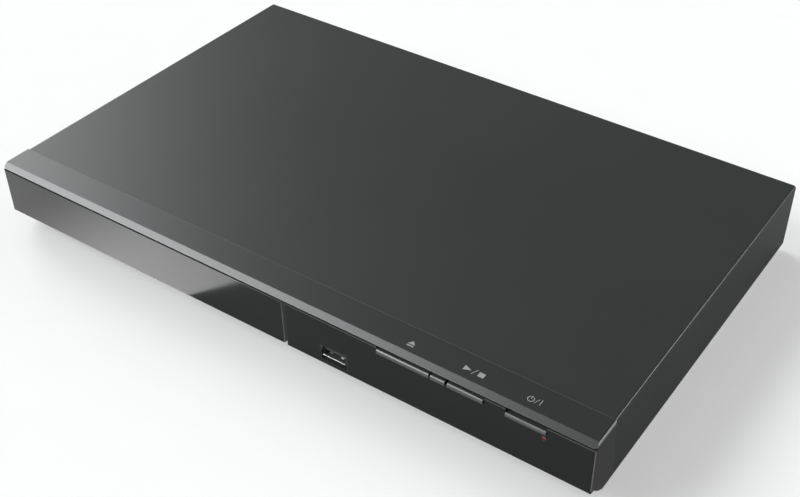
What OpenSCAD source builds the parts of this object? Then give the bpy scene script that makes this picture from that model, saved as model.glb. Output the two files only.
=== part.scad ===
// Compact disc player with a motor-driven tray, in millimetres, +Z up, front towards -Y.
// The origin is on the surface that the player stands on, under the middle of its box.
// Modules are drawn with y = 0 on the front face's plane; in_place() moves them into the frame.

/* [Body] */
// Width of the player
body_w = 325; // [320:1:340]
// Depth from the front face to the cover's rear lip
body_d = 202; // [200:1:220]
// Height of the body without its feet
body_h = 34.6; // [34.6:0.1:36]
// Height of the feet
foot_h = 3.4; // [2.5:0.1:6]
// Thickness of the painted top cover
cover_t = 0.8; // [0.6:0.1:1]
// Thickness of the zinc-plated chassis sheet
sheet_t = 0.8; // [0.6:0.1:1]

/* [Front] */
// Wall of the moulded front panel
wall = 2.2; // [1.8:0.1:2.4]
// Thickness of the face plate and of the tray door
plate_t = 4.0; // [3.8:0.1:4.2]
// Height of the face's lower edge above the cover's lower edge
face_rise = 7.2; // [6.8:0.1:7.6]
// Depth of the top strip, from the front face to the cover
strip_d = 16; // [15:0.5:16.5]
// Depth of the front panel's side at the bottom
strip_d_low = 20; // [18:0.5:21]
// Depth of the bevel along the top front edge
bevel_y = 2.5; // [2:0.1:3]
// Height of the bevel along the top front edge
bevel_z = 2.2; // [2:0.1:2.4]
// Height of the shadow groove under the bevel
groove_h = 0.8; // [0.6:0.1:1]
// Gap between the tray door and the fixed face
door_gap = 1.3; // [1:0.1:1.6]
// Right end of the tray door, from the middle of the player
door_x1 = 10.5; // [10:0.5:12]
// Radius of the upright corners at both ends of the top strip
brow_r = 1.6; // [1:0.1:2]
// Radius of the upright edges of the door and of the fixed face
edge_r = 0.5; // [0.3:0.1:0.6]

/* [Buttons] */
// How far a button stands out of the face
button_out = 0.8; // [0.6:0.1:1]
// Travel of a button
button_travel = 0.7; // [0.5:0.05:0.8]
// Height of the eject and play bars
bar_h = 2.0; // [1.8:0.1:2.1]
// Height of the power bar
power_h = 1.8; // [1.6:0.1:2]

/* [Loader] */
// From the left end to the tray
tray_left = 22.5; // [21.5:0.5:23.5]
// Width of the tray
tray_w = 128; // [127:0.5:128]
// How far the tray comes out
tray_travel = 138; // [120:1:138]
// Middle of the disc, behind the front face
disc_y = 76; // [76:0.5:77]
// Angle by which the lift frame hangs down while the tray moves
lift_angle = 5.67; // [5.4:0.01:5.67]
// Way of the cam slide that raises the lift frame
cam_travel = 18; // [16:0.5:18]
// How far the pickup travels along its rods
pickup_travel = 34; // [25:1:34]

/* [Rear] */
// How far the sockets stand out behind the cover
jack_reach = 8; // [6:0.5:10]
// Distance between two phono sockets
jack_pitch = 14; // [13.5:0.5:15]

/* [Hidden] */
$fn = 64;

eps = 0.01;
half_w = body_w / 2;
tray_cx = tray_left + tray_w / 2 - half_w;
y_front = button_out - (body_d + jack_reach + button_out) / 2;
base_z = foot_h;
top_z = base_z + body_h;
floor_z = base_z + sheet_t;
ceiling_z = top_z - cover_t;

// Front panel levels
face_z = base_z + face_rise;
brow_z = top_z - bevel_z;
plate_top = brow_z - groove_h;
door_z = face_z + 0.4;
bezel_y = plate_t + 0.4;
fixed_x = door_x1 + door_gap;
slot_z0 = base_z + 16.2;
slot_z1 = base_z + 27.4;
tongue_d = 4;

// Buttons: both ends of each bar, laid out from the right end of the face
function from_right(ends) = [half_w - ends[0], half_w - ends[1]];
eject_x = from_right([101.5, 75.6]);
trim_x = from_right([74.8, 67.9]);
play_x = from_right([66.8, 50]);
power_x = from_right([39.6, 21.2]);
bar_z = brow_z - 3.7;
power_bar_z = brow_z - 4.3;
notch_gap = 0.3;
bar_chamfer = 0.5;
flange_t = 1.2;
stem_r = 1.6;
switch_size = 4.5;
switch_y = 10.5;
stem_end = 10.9;

led_x = power_x[1] - 1.1;
led_z = base_z + 25.2;
led_r = 1;

usb_x = door_x1 + 27.35;
usb_w = 13.1;
usb_h = 5.7;
usb_z = base_z + 11.2;

// Rear panel planes
lip_y = body_d - cover_t;
rear_y = lip_y - sheet_t;
rear_end = body_d + jack_reach;
lip_h = 7;
cover_screw_x = [-(half_w - 22.5), 0, half_w - 22.5];
cover_screw_z = ceiling_z - 3.2;

// Boards
board_t = 1.6;
board_z = base_z + 6.6;
board_top = board_z + board_t;
board_d = 103.8;
board_gap = 8;
board_y1 = rear_y - 0.6;
board_y0 = board_y1 - board_d;
side_t = 3;
side_x = tray_w / 2 + 2;
lug_x = side_x + side_t + 3;
board_left = tray_cx + lug_x + 10;
board_right = half_w - 6.5;
main_w = 0.55 * (board_right - board_left - board_gap);
main_x = [board_left, board_left + main_w];
power_board_x = [main_x[1] + board_gap, board_right];
power_w = power_board_x[1] - power_board_x[0];
board_screw_in = 5;
board_screw_x = [main_x[0] + board_screw_in, main_x[1] - board_screw_in,
                 power_board_x[0] + board_screw_in, power_board_x[1] - board_screw_in];
board_screw_y = [board_y0 + board_screw_in, board_y1 - 17];
socket_h = 6;
ribbon_w = 20;
ribbon_t = 0.35;
mouth_y = 136;
lead_y = board_y0 + 0.34 * board_d;
lead_wire_r = 0.8;
front_lug_x = [-(half_w - 6.5), usb_x - 7.85, half_w - 6.5];
front_lug_y = strip_d_low + 6;
front_board_y = 14;
front_board_x = [usb_x - 17.85, half_w - 4.5];
front_board_z0 = base_z + 5.1;
front_board_z1 = brow_z - 0.5;
front_post_x = [usb_x + 14.15, half_w - 62.5, half_w - 9.5];
front_post_z = base_z + 10.6;

// Pressed ring in the chassis floor, under the main board
bead_lo = [main_x[0] + 12, board_y0 + 12];
bead_hi = [main_x[1] - 12, board_y1 - 30];
bead_w = 5;
bead_h = 0.8;

// Phono sockets and mains inlet
jack_x0 = main_x[0] + (main_w - 3 * jack_pitch) / 2;
jack_z = board_top + 8.4;
jack_r = 4.15;
jack_bore = 3.6;
inlet_x = power_board_x[0] + 0.6 * power_w;
inlet_w = 20;
inlet_h = 13;
inlet_z = board_top + inlet_h / 2;
inlet_pitch = 8.6;

// Feet
foot_x = half_w - 22.5;
foot_y = [32, body_d - 20];
foot_r = 10;
pad_h = 1;

// Screws
screw_r = 1.3;
head_r = 2.9;
head_h = 1.6;
pilot = 0.05;

// Loader levels
tray_z0 = base_z + 20.2;
tray_z1 = tray_z0 + 6.2;
seat_z = tray_z0 + 2.4;
small_seat_z = tray_z0 + 1.2;
tray_y0 = plate_t - 0.1;
tray_pad = 50;
tray_y1 = 170;
disc_r = 60.5;
small_disc_r = 40.5;
throat_r = 19;
deck_z = base_z + 2.6;
deck_t = 2;
deck_top = deck_z + deck_t;
bridge_z = top_z - 4;
bridge_t = 1.2;
lug_y = [26, 160];
lug_z = base_z + 4.6;
lug_t = 2.5;
bridge_screw_x = side_x + side_t + 1.5;

// Tray drive
rack_teeth_m = 1;
drive_teeth = 20;
big_teeth_m = 0.8;
big_teeth = 40;
pinion_teeth = 12;
drive_r = rack_teeth_m * drive_teeth / 2;
rack_x = tray_cx - tray_w / 2 + 10;
drive_x = rack_x + drive_r;
drive_y = 24;
drive_step = 18;
train_r = big_teeth_m * (big_teeth + pinion_teeth) / 2;
pulley_x = drive_x + train_r * cos(drive_step);
pulley_y = drive_y + train_r * sin(drive_step);
pulley_r = 12;
motor_x = tray_cx + 12;
motor_y = 32;
motor_r = 12;
motor_pulley_r = 3;
rack_z0 = tray_z0 - 3.4;
backlash = 0.25;
gear_run = 0.05;
pulley_z0 = base_z + 12.6;
pulley_z1 = base_z + 16.2;
belt_t = 1.2;

// Lift frame, drawn level and then lowered about its pivot
pivot_y = 163;
pivot_z = base_z + 10.6;
pivot_r = 2;
lift_z = base_z + 12;
lift_t = 3;
lift_x = 40;
lift_in = 35;
lift_y0 = 57;
lift_y1 = 161;
lift_bar = 10;
plate_z = lift_z + 4.4;
plate_top_z = plate_z + 1;
cam_pin_z = base_z + 17.2;
cam_pin_r = 1.1;
cam_slot_r = 1.45;
cam_groove = 1;
cam_pin_x = 16;
cam_y = 53.2;
cam_t = 2.4;
pin_arm = pivot_y - cam_y - cam_t / 2;
pin_low = pivot_z + (cam_pin_z - pivot_z) * cos(lift_angle) - pin_arm * sin(lift_angle);
damper_x = 30;
damper_y = [66, 156];
rod_x = 22;
rod_r = 1.5;
rod_z = lift_z + 2.2;
carriage_y = [92, 110];
rod_y = [carriage_y[0] - 6, carriage_y[1] + pickup_travel + 5];
lens_y = disc_y + 24;
throat_y = lens_y + pickup_travel + 6.5;
screw_x = -29.5;
screw_z = rod_z - 3.3;
lead_r = 1.5;
sled_r = 5;
follower_y = [92, 98];
sled_y = [follower_y[1] + pickup_travel + 1, follower_y[1] + pickup_travel + 12];
table_z = plate_z + 9.8;
clamper_gap = 1;

module in_place() {
    translate([0, y_front, 0]) children();
}

// Box from one corner to the opposite one
module block(a, b) {
    translate(a) cube(b - a);
}

// Outline in the Y-Z plane, carried along X
module across(x0, x1) {
    translate([x0, 0, 0]) rotate([90, 0, 90]) linear_extrude(height = x1 - x0) children();
}

// Round bar along Y
module along_y(r, y0, y1, x, z) {
    translate([x, y0, z]) rotate([-90, 0, 0]) cylinder(r = r, h = y1 - y0);
}

// Round bar along X
module along_x(r, x0, x1, y, z) {
    translate([x0, y, z]) rotate([0, 90, 0]) cylinder(r = r, h = x1 - x0);
}

module upright(r, z0, z1, x, y) {
    translate([x, y, z0]) cylinder(r = r, h = z1 - z0);
}

// What comes off to round an upright edge at [x, y]; side is where the material ends, 1 or -1
module edge_round(r, side, x, y, z0, z1) {
    translate([x, y, z0]) linear_extrude(height = z1 - z0) difference() {
        translate([-side * (r - 1) / 2, (r - 1) / 2]) square(r + 1, center = true);
        translate([-side * r, r]) circle(r);
    }
}

// Pan-head screw: head above z = 0, shank below, with a cross slot
module screw(length) {
    difference() {
        union() {
            cylinder(r = head_r, h = head_h);
            translate([0, 0, -length]) cylinder(r = screw_r, h = length + eps);
        }
        for (turn = [0, 90])
            rotate([0, 0, turn]) translate([-1.8, -0.3, head_h - 0.9]) cube([3.6, 0.6, 1]);
    }
}

// ---------- case ----------

module cover_outline(inset) {
    bend = 1.4 - inset;
    x = half_w - inset;
    z = top_z - inset;
    difference() {
        translate([-x, base_z - (inset > 0 ? 1 : 0)])
            square([2 * x, z - base_z + (inset > 0 ? 1 : 0)]);
        for (side = [-1, 1])
            translate([side * x, z]) difference() {
                square(2 * bend, center = true);
                translate([-side * bend, -bend]) circle(bend);
            }
    }
}

module top_cover() {
    color("#3c4140") difference() {
        intersection() {
            translate([0, body_d, 0]) rotate([90, 0, 0]) linear_extrude(height = body_d)
                difference() {
                    cover_outline(0);
                    cover_outline(cover_t);
                }
            across(-half_w - 1, half_w + 1)
                polygon([[strip_d, top_z + 1], [strip_d, top_z], [strip_d_low, base_z],
                         [strip_d_low, base_z - 1], [body_d, base_z - 1], [body_d, top_z + 1]]);
        }
    }
    color("#3c4140") difference() {
        block([-half_w + 6, lip_y, top_z - lip_h], [half_w - 6, body_d, ceiling_z + eps]);
        for (x = cover_screw_x) along_y(1.6, lip_y - 1, body_d + 1, x, cover_screw_z);
    }
}

module chassis_floor() {
    block([-half_w + cover_t + 0.1, strip_d_low + 0.1, base_z], [half_w - cover_t - 0.1, lip_y, floor_z]);
}

// Pressed stiffening ring in the floor, seen from above
module bead(lo, hi, width, z0, z1) {
    difference() {
        block([lo[0], lo[1], z0], [hi[0], hi[1], z1]);
        block([lo[0] + width, lo[1] + width, z0 - 1], [hi[0] - width, hi[1] - width, z1 + 1]);
    }
}

module bottom_chassis() {
    x = half_w - cover_t - 0.1;
    color("#a9adae") difference() {
        union() {
            chassis_floor();
            block([-x, rear_y, base_z], [x, lip_y, ceiling_z - 0.1]);
            for (side = [-1, 1])
                block([min(side * x, side * (x - sheet_t)), strip_d_low + 2, base_z],
                      [max(side * x, side * (x - sheet_t)), rear_y + eps, base_z + 10]);
            bead(bead_lo, bead_hi, bead_w, floor_z - eps, floor_z + bead_h);
            for (post_x = [-1, 1], y = lug_y)
                upright(2.9, floor_z - eps, lug_z, tray_cx + post_x * lug_x, y);
            for (post_x = board_screw_x, y = board_screw_y)
                upright(3.2, floor_z - eps, board_z, post_x, y);
        }
        bead(bead_lo + [sheet_t, sheet_t], bead_hi - [sheet_t, sheet_t], bead_w - 2 * sheet_t,
             base_z - 1, base_z + bead_h);
        // Screw bores in the posts
        for (post_x = [-1, 1], y = lug_y)
            upright(screw_r + pilot, base_z - 1, lug_z + 1, tray_cx + post_x * lug_x, y);
        for (post_x = board_screw_x, y = board_screw_y)
            upright(screw_r + pilot, base_z - 1, board_z + 1, post_x, y);
        // Front panel screws and feet
        for (x = front_lug_x) upright(1.6, base_z - 1, floor_z + 1, x, front_lug_y);
        for (side = [-1, 1], y = foot_y) upright(2.6, base_z - 1, floor_z + 1, side * foot_x, y);
        // Cooling slots under the mains side
        for (row = [0, 1], k = [0 : floor((power_w - 10.5) / 6)])
            translate([power_board_x[0] + 8 + 6 * k, board_y0 - 44 + 26 * row, 0])
                block([0, 0, base_z - 1], [2.5, 20, floor_z + 1]);
        // Sockets, mains inlet and screws in the rear
        for (k = [0 : 3])
            along_y(jack_r + 0.6, rear_y - 1, lip_y + 1, jack_x0 + jack_pitch * k, jack_z);
        block([inlet_x - inlet_w / 2 - 0.2, rear_y - 1, inlet_z - inlet_h / 2 - 0.2],
              [inlet_x + inlet_w / 2 + 0.2, lip_y + 1, inlet_z + inlet_h / 2 + 0.2]);
        for (x = cover_screw_x)
            along_y(screw_r + pilot, rear_y - 1, lip_y + 1, x, cover_screw_z);
        for (k = [0 : 13])
            block([tray_cx - 50 + 8 * k, rear_y - 1, base_z + 12], [tray_cx - 47 + 8 * k, lip_y + 1, base_z + 22]);
    }
}

// ---------- front ----------

module panel_outline() {
    polygon([[0, face_z], [plate_t + 0.1, face_z - 0.6], [plate_t + 0.5, face_z - 2.4],
             [plate_t + 2.7, face_z - 4.4], [plate_t + 6.9, base_z], [strip_d_low, base_z],
             [strip_d, top_z], [bevel_y, top_z], [0, brow_z]]);
}

module panel_cavity(behind_door) {
    back = strip_d_low + 6;
    low = base_z + 2;
    rake = [[plate_t + 4, face_z - 3], [plate_t + 7.5, low], [back, low], [back, brow_z]];
    start = behind_door
        ? [[bezel_y + 2, brow_z], [bezel_y + 2, face_z - 1.2]]
        : [[wall, brow_z], [wall, face_z + 1.8], [plate_t + 1.6, face_z + 1.4],
           [plate_t + 2.3, face_z - 1.4]];
    polygon(concat(start, rake));
}

module button_notch(x, z) {
    block([x[0] - notch_gap, -1, z - notch_gap], [x[1] + notch_gap, wall + 1, brow_z]);
}

module panel_lug(x) {
    difference() {
        block([x - 4, strip_d_low - 6, floor_z + 0.05], [x + 4, front_lug_y + 4.5, floor_z + 3.2]);
        upright(screw_r + pilot, floor_z - 1, floor_z + 4, x, front_lug_y);
    }
    block([x - 4, strip_d_low - 6, base_z + 1.9], [x + 4, strip_d_low, floor_z + 3.2]);
}

module board_post(x) {
    difference() {
        along_y(3, wall - eps, front_board_y, x, front_post_z);
        along_y(screw_r + pilot, wall + 2, front_board_y + 1, x, front_post_z);
    }
}

module front_panel() {
    color("#17181a") difference() {
        union() {
            difference() {
                across(-half_w, half_w) panel_outline();
                across(fixed_x + wall, half_w - wall) panel_cavity(false);
                across(-half_w + wall, fixed_x + wall + eps) panel_cavity(true);
                block([-half_w - 1, -1, 0], [fixed_x, bezel_y, brow_z]);
            }
            // Tongue under the cover's front edge
            block([-half_w + 4, strip_d - 3, ceiling_z - 1.7], [half_w - 4, strip_d + tongue_d, ceiling_z - 0.1]);
            for (x = front_lug_x) panel_lug(x);
            for (x = front_post_x) board_post(x);
        }
        // Shadow groove along the fixed face
        block([fixed_x - 1, -1, plate_top], [half_w + 1, 1, brow_z]);
        // Tray slot
        block([tray_cx - tray_w / 2 - 1, bezel_y - 1, slot_z0],
              [tray_cx + tray_w / 2 + 1, bezel_y + 3, slot_z1]);
        button_notch([eject_x[0], play_x[1]], bar_z);
        button_notch(power_x, power_bar_z);
        along_y(led_r + 0.05, -1, wall + 1, led_x, led_z);
        usb_recess();
        // Rounded upright edges
        for (side = [-1, 1]) edge_round(brow_r, side, side * half_w, 0, plate_top, top_z + 1);
        edge_round(edge_r, 1, half_w, 0, base_z - 1, plate_top + eps);
        edge_round(edge_r, -1, fixed_x, 0, base_z - 1, plate_top + eps);
    }
}

module usb_recess() {
    x0 = usb_x - usb_w / 2 - 0.4;
    x1 = usb_x + usb_w / 2 + 0.4;
    block([x0, -1, usb_z - 0.2], [x1, wall + 1, usb_z + usb_h + 0.5]);
    across(x0, x1) polygon([[-1, usb_z - 2.8], [wall + 1, usb_z], [-1, usb_z]]);
}

// Bar with its upper front edge cut on the slant
module bar(x, z, h, back) {
    across(x[0], x[1]) polygon([[-button_out, z], [back, z], [back, z + h],
                                [-button_out + bar_chamfer, z + h], [-button_out, z + h - bar_chamfer]]);
}

module button_trim() {
    color("#7d8183") {
        bar(trim_x, bar_z, bar_h, wall + 0.1);
        block([trim_x[0], wall, bar_z - 2], [trim_x[1], wall + flange_t, brow_z - 0.4]);
    }
}

module standby_led() {
    color("#c01818") translate([led_x, 0, led_z]) rotate([-90, 0, 0]) rotate_extrude()
        polygon([[0, 0.1], [led_r, 0.3], [led_r, wall + 3], [1.5, wall + 3.4],
                 [1.5, front_board_y], [0, front_board_y]]);
}

module usb_shell() {
    color("#d8dadb") difference() {
        block([usb_x - usb_w / 2, 0.6, usb_z], [usb_x + usb_w / 2, front_board_y, usb_z + usb_h]);
        block([usb_x - usb_w / 2 + 0.4, 0, usb_z + 0.4],
              [usb_x + usb_w / 2 - 0.4, front_board_y - 1, usb_z + usb_h - 0.4]);
    }
}

module usb_tongue() {
    color("#f2f2f0")
        block([usb_x - 5.5, 1.6, usb_z + 3], [usb_x + 5.5, front_board_y - 1, usb_z + 4.9]);
}

module button(x, z, h) {
    middle = (x[0] + x[1]) / 2;
    bar(x, z, h, wall + 0.5);
    block([x[0], wall + 0.4, z - 1.2], [x[1], wall + 0.4 + flange_t, brow_z - 0.4]);
    along_y(stem_r, wall + flange_t, stem_end, middle, z + h / 2);
}

module eject_button() {
    color("#7d8183") button(eject_x, bar_z, bar_h);
}

module play_button() {
    color("#7d8183") button(play_x, bar_z, bar_h);
}

module power_button() {
    color("#7d8183") button(power_x, power_bar_z, power_h);
}

module switch_body(x, z) {
    half = switch_size / 2;
    difference() {
        block([x - half, switch_y, z - half], [x + half, front_board_y, z + half]);
        along_y(stem_r + 0.3, switch_y - 1, stem_end + button_travel + 0.8, x, z);
    }
}

module switch_bodies() {
    color("#2b2b2d") {
        switch_body((eject_x[0] + eject_x[1]) / 2, bar_z + bar_h / 2);
        switch_body((play_x[0] + play_x[1]) / 2, bar_z + bar_h / 2);
        switch_body((power_x[0] + power_x[1]) / 2, power_bar_z + power_h / 2);
    }
}

module front_board() {
    color("#2f6b3a") difference() {
        block([front_board_x[0], front_board_y, front_board_z0],
              [front_board_x[1], front_board_y + board_t, front_board_z1]);
        for (x = front_post_x)
            along_y(1.6, front_board_y - 1, front_board_y + board_t + 1, x, front_post_z);
    }
}

// ---------- feet and screws ----------

module feet() {
    color("#202122") for (side = [-1, 1], y = foot_y)
        translate([side * foot_x, y, 0]) rotate_extrude()
            polygon([[0, pad_h], [foot_r - 1.6, pad_h], [foot_r, base_z - 0.6], [foot_r, base_z],
                     [2.5, base_z], [2.5, floor_z + 1.2], [0, floor_z + 1.2]]);
}

module foot_pads() {
    color("#3a3a3c") for (side = [-1, 1], y = foot_y)
        upright(foot_r - 2.6, 0, pad_h, side * foot_x, y);
}

module cover_screws() {
    color("#2a2b2c") for (x = cover_screw_x)
        translate([x, body_d, cover_screw_z]) rotate([-90, 0, 0]) screw(7);
}

module chassis_screws() {
    color("#b8babb") for (x = front_lug_x)
        translate([x, front_lug_y, base_z]) rotate([180, 0, 0]) screw(4);
}

module inner_screws() {
    color("#b8babb") {
        for (side = [-1, 1], y = lug_y)
            translate([tray_cx + side * lug_x, y, lug_z + lug_t]) screw(6);
        for (x = board_screw_x, y = board_screw_y)
            translate([x, y, board_top]) screw(6);
        for (side = [-1, 1])
            translate([tray_cx + side * bridge_screw_x, disc_y, bridge_z + bridge_t]) screw(6);
        for (x = front_post_x)
            translate([x, front_board_y + board_t, front_post_z]) rotate([-90, 0, 0]) screw(7);
    }
}

// ---------- boards and sockets ----------

module board(x) {
    difference() {
        block([x[0], board_y0, board_z], [x[1], board_y1, board_top]);
        for (hole_x = [x[0] + board_screw_in, x[1] - board_screw_in], y = board_screw_y)
            upright(1.6, board_z - 1, board_top + 1, hole_x, y);
    }
}

// Puts a component on a board, at shares of its width and depth
module on_main(along, back) {
    translate([main_x[0] + along * main_w, board_y0 + back * board_d, board_top]) children();
}

module on_power(along, back) {
    translate([power_board_x[0] + along * power_w, board_y0 + back * board_d, board_top]) children();
}

module chip(w, d, h) {
    block([-w / 2, -d / 2, 0], [w / 2, d / 2, h]);
}

module main_board() {
    color("#2f6b3a") board(main_x);
}

module power_board() {
    color("#8a6f3c") board(power_board_x);
}

module main_chips() {
    color("#1c1c1e") {
        on_main(0.435, 0.328) chip(24, 24, 1.6);
        on_main(0.745, 0.318) chip(12, 18, 1.2);
        on_main(0.245, 0.568) chip(10, 10, 1.4);
        on_main(0.745, 0.54) chip(16, 8, 1.8);
    }
}

module main_capacitors() {
    color("#23324f") {
        for (k = [0 : 3]) on_main(0.155, 0.713) translate([9 * k, 0, 0]) cylinder(r = 3.2, h = 8);
        for (k = [0 : 1]) on_main(0.745, 0.694) translate([10 * k, 0, 0]) cylinder(r = 4, h = 11.5);
        on_main(0.155, 0.347) cylinder(r = 4, h = 11.5);
    }
}

module board_socket(x0, x1, y0, y1) {
    block([x0, y0, board_top], [x1, y1, board_top + socket_h]);
}

module board_sockets() {
    color("#e8e4d6") {
        board_socket(main_x[0] + 30, main_x[0] + 34 + ribbon_w, board_y0 + 3, board_y0 + 8);
        for (x = [main_x[1] - 6, power_board_x[0] + 1])
            board_socket(x, x + 5, lead_y - 9, lead_y + 9);
        board_socket(main_x[0] + 1, main_x[0] + 6, mouth_y - 2, mouth_y + ribbon_w + 2);
    }
}

module each_jack() {
    for (k = [0 : 3]) translate([jack_x0 + jack_pitch * k, 0, jack_z]) children();
}

module av_jack_block() {
    color("#232325")
        block([jack_x0 - 7, rear_y - 14, board_top], [jack_x0 + 3 * jack_pitch + 7, rear_y, jack_z + 8]);
}

module jack_sleeves() {
    color("#c9cbcc") each_jack() difference() {
        union() {
            along_y(jack_r - 0.1, rear_y, lip_y + 2, 0, 0);
            along_y(jack_r, lip_y + 2, rear_end, 0, 0);
        }
        along_y(jack_bore, rear_y - 1, rear_end + 1, 0, 0);
    }
}

module jack_insert(k) {
    translate([jack_x0 + jack_pitch * k, 0, jack_z]) {
        difference() {
            along_y(5.8, lip_y, lip_y + 2, 0, 0);
            along_y(jack_r - 0.08, lip_y - 1, lip_y + 3, 0, 0);
        }
        difference() {
            along_y(jack_bore - 0.02, rear_y, rear_end - 1, 0, 0);
            along_y(1.8, rear_y - 1, rear_end, 0, 0);
        }
    }
}

module video_insert() {
    color("#e6c81e") jack_insert(0);
}

module left_insert() {
    color("#eeeeee") jack_insert(1);
}

module right_insert() {
    color("#c0201c") jack_insert(2);
}

module digital_insert() {
    color("#d8731a") jack_insert(3);
}

module jack_contacts() {
    color("#c8a850") each_jack() difference() {
        along_y(1.78, rear_y + 0.5, rear_end - 2, 0, 0);
        along_y(1.62, rear_y, rear_end, 0, 0);
    }
}

// Outline of a two-pole mains inlet: two round lobes joined by a waist
module inlet_outline(r) {
    for (side = [-1, 1]) translate([side * inlet_pitch / 2, 0]) circle(r);
    square([inlet_pitch, 1.5 * r], center = true);
}

module ac_inlet() {
    z0 = inlet_z - inlet_h / 2;
    color("#1d1d1f") difference() {
        union() {
            block([inlet_x - inlet_w / 2, rear_y - 14, z0], [inlet_x + inlet_w / 2, lip_y + 0.5, z0 + inlet_h]);
            block([inlet_x - inlet_w / 2 - 2.5, lip_y, z0 - 1], [inlet_x + inlet_w / 2 + 2.5, lip_y + 2.2, z0 + inlet_h + 2]);
        }
        translate([inlet_x, rear_y - 10, inlet_z]) rotate([-90, 0, 0])
            linear_extrude(height = 20) inlet_outline(4.3);
    }
}

module ac_pins() {
    color("#c9cbcc") for (side = [-1, 1])
        along_y(1.2, rear_y - 10, lip_y - 1.5, inlet_x + side * inlet_pitch / 2, inlet_z);
}

module power_transformer() {
    color("#3a352c") on_power(0.42, 0.434) {
        chip(22, 18, 3);
        translate([0, 0, 3]) chip(18, 22, 14);
    }
}

module mains_capacitor() {
    color("#1f2226") on_power(0.81, 0.366) cylinder(r = 8, h = 22);
}

module mains_choke() {
    color("#b5651d") on_power(0.7, 0.63) difference() {
        chip(18, 14, 17);
        translate([0, -0.5, 5]) chip(20, 5, 7);
    }
}

module fuse() {
    color("#d9d9d6") on_power(0.405, 0.694) {
        along_y(2.6, -10, 10, 0, 4.2);
        for (side = [-1, 1]) translate([0, side * 7.5, 0]) chip(6, 5, 4);
    }
}

module power_heatsink() {
    color("#b7babc") on_power(0, 0.085) translate([6.5, 0, 0]) {
        block([0, 0, 0], [3, 24, 20]);
        for (k = [0 : 4]) block([2.9, 5.2 * k, 3], [9, 5.2 * k + 2, 20]);
    }
}

// Flat cable: a thin strip folded along an outline in the Y-Z plane
module front_ribbon() {
    z = board_top + socket_h;
    step = z + 2 - ribbon_t;
    end = board_y0 + 5.5;
    color("#d5d5d0") across(main_x[0] + 32, main_x[0] + 32 + ribbon_w)
        polygon([[front_board_y + board_t, z + 2], [24, z + 2], [end, z + ribbon_t],
                 [end, z], [24, step], [front_board_y + board_t, step]]);
}

module power_lead() {
    color("#b02a20") for (k = [-2 : 2])
        along_x(lead_wire_r, main_x[1] - 3.5, power_board_x[0] + 3.5, lead_y + 3 * k, board_top + socket_h + lead_wire_r);
}

module loader_ribbon() {
    z = board_top + socket_h;
    color("#d5d5d0") block([tray_cx + side_x - 10, mouth_y, z], [main_x[0] + 4, mouth_y + ribbon_w, z + ribbon_t]);
}

// ---------- loader ----------

module loader_frame() {
    wall_z = bridge_z;
    color("#26272a") difference() {
        union() {
            for (side = [-1, 1]) {
                x = tray_cx + side * (side_x + side_t / 2);
                translate([x, 0, 0]) {
                    block([-side_t / 2, 12, deck_top - eps], [side_t / 2, 176, tray_z1 + 2.4]);
                    block([-side_t / 2, disc_y - 15, tray_z1], [side_t / 2, disc_y + 15, wall_z]);
                }
                // Lower rail along the whole wall, upper guides at four places
                translate([tray_cx + side * (side_x - 1.5), 0, 0]) {
                    block([-2.5, 12, tray_z0 - 3], [2, 170, tray_z0 - 0.15]);
                    for (y = [14, 60, 104, 156])
                        block([-2.5, y, tray_z1 + 0.2], [2, y + 12, tray_z1 + 2.2]);
                }
                for (y = lug_y) translate([tray_cx + side * lug_x, y, 0])
                    block([-4.5, -5, lug_z], [4.5, 5, lug_z + lug_t]);
                upright(3.4, tray_z0 - 8, wall_z, tray_cx + side * bridge_screw_x, disc_y);
                // Bearing ears of the lift frame
                translate([tray_cx + side * 44, 0, 0]) difference() {
                    block([-3, pivot_y - 5, deck_z + 2], [3, 176, pivot_z + 5]);
                    along_x(pivot_r + gear_run, -4, 4, pivot_y, pivot_z);
                }
            }
            // Front deck, rear beam and rear wall
            block([tray_cx - side_x - 1, 12, deck_z], [tray_cx + side_x + 1, 56.8, deck_top]);
            block([tray_cx - side_x - 1, 169, deck_z + 1], [tray_cx + side_x + 1, 176, pivot_z + 5]);
            block([tray_cx - side_x - 1, 173, deck_z + 1], [tray_cx + side_x + 1, 176, tray_z1 + 2.4]);
            // Fence in front of the cam slide
            for (x = [-42, 10]) block([tray_cx + x, cam_y - 2.6, deck_z], [tray_cx + x + 14, cam_y - 0.2, deck_top + 5]);
            // Gear posts
            upright(4, deck_z, base_z + 8.4, drive_x, drive_y);
            upright(2, deck_z, tray_z0 - 0.6, drive_x, drive_y);
            upright(3.2, deck_z, base_z + 8.2, pulley_x, pulley_y);
            upright(1.5, deck_z, base_z + 17.2, pulley_x, pulley_y);
        }
        upright(motor_r + 0.3, deck_z - 1, deck_top + 1, motor_x, motor_y);
        // Groove that the cam slide runs in
        block([tray_cx - 46, cam_y - 0.2, deck_top - cam_groove],
              [tray_cx + 46, cam_y + cam_t + 0.2, deck_top + 1]);
        for (side = [-1, 1], y = lug_y)
            upright(1.6, lug_z - 1, lug_z + lug_t + 1, tray_cx + side * lug_x, y);
        for (side = [-1, 1])
            upright(screw_r + pilot, bridge_z - 8, bridge_z + 1, tray_cx + side * bridge_screw_x, disc_y);
        // Windows that lighten the side walls
        for (y = [34, 110])
            block([tray_cx - side_x - 9, y, deck_z + 5], [tray_cx + side_x + 9, y + 22, tray_z0 - 6]);
        // Mouth for the flat cable
        block([tray_cx + side_x - 1, mouth_y - 2, deck_z + 5],
              [tray_cx + side_x + side_t + 1, mouth_y + ribbon_w + 2, tray_z0 - 4]);
    }
}

module loading_motor() {
    color("#b9bcbe") difference() {
        union() {
            upright(motor_r, floor_z + 0.6, base_z + 11.8, motor_x, motor_y);
            upright(motor_r + 1.5, deck_top, deck_top + 1, motor_x, motor_y);
        }
        upright(1.05, base_z + 5, base_z + 13, motor_x, motor_y);
    }
}

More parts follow.
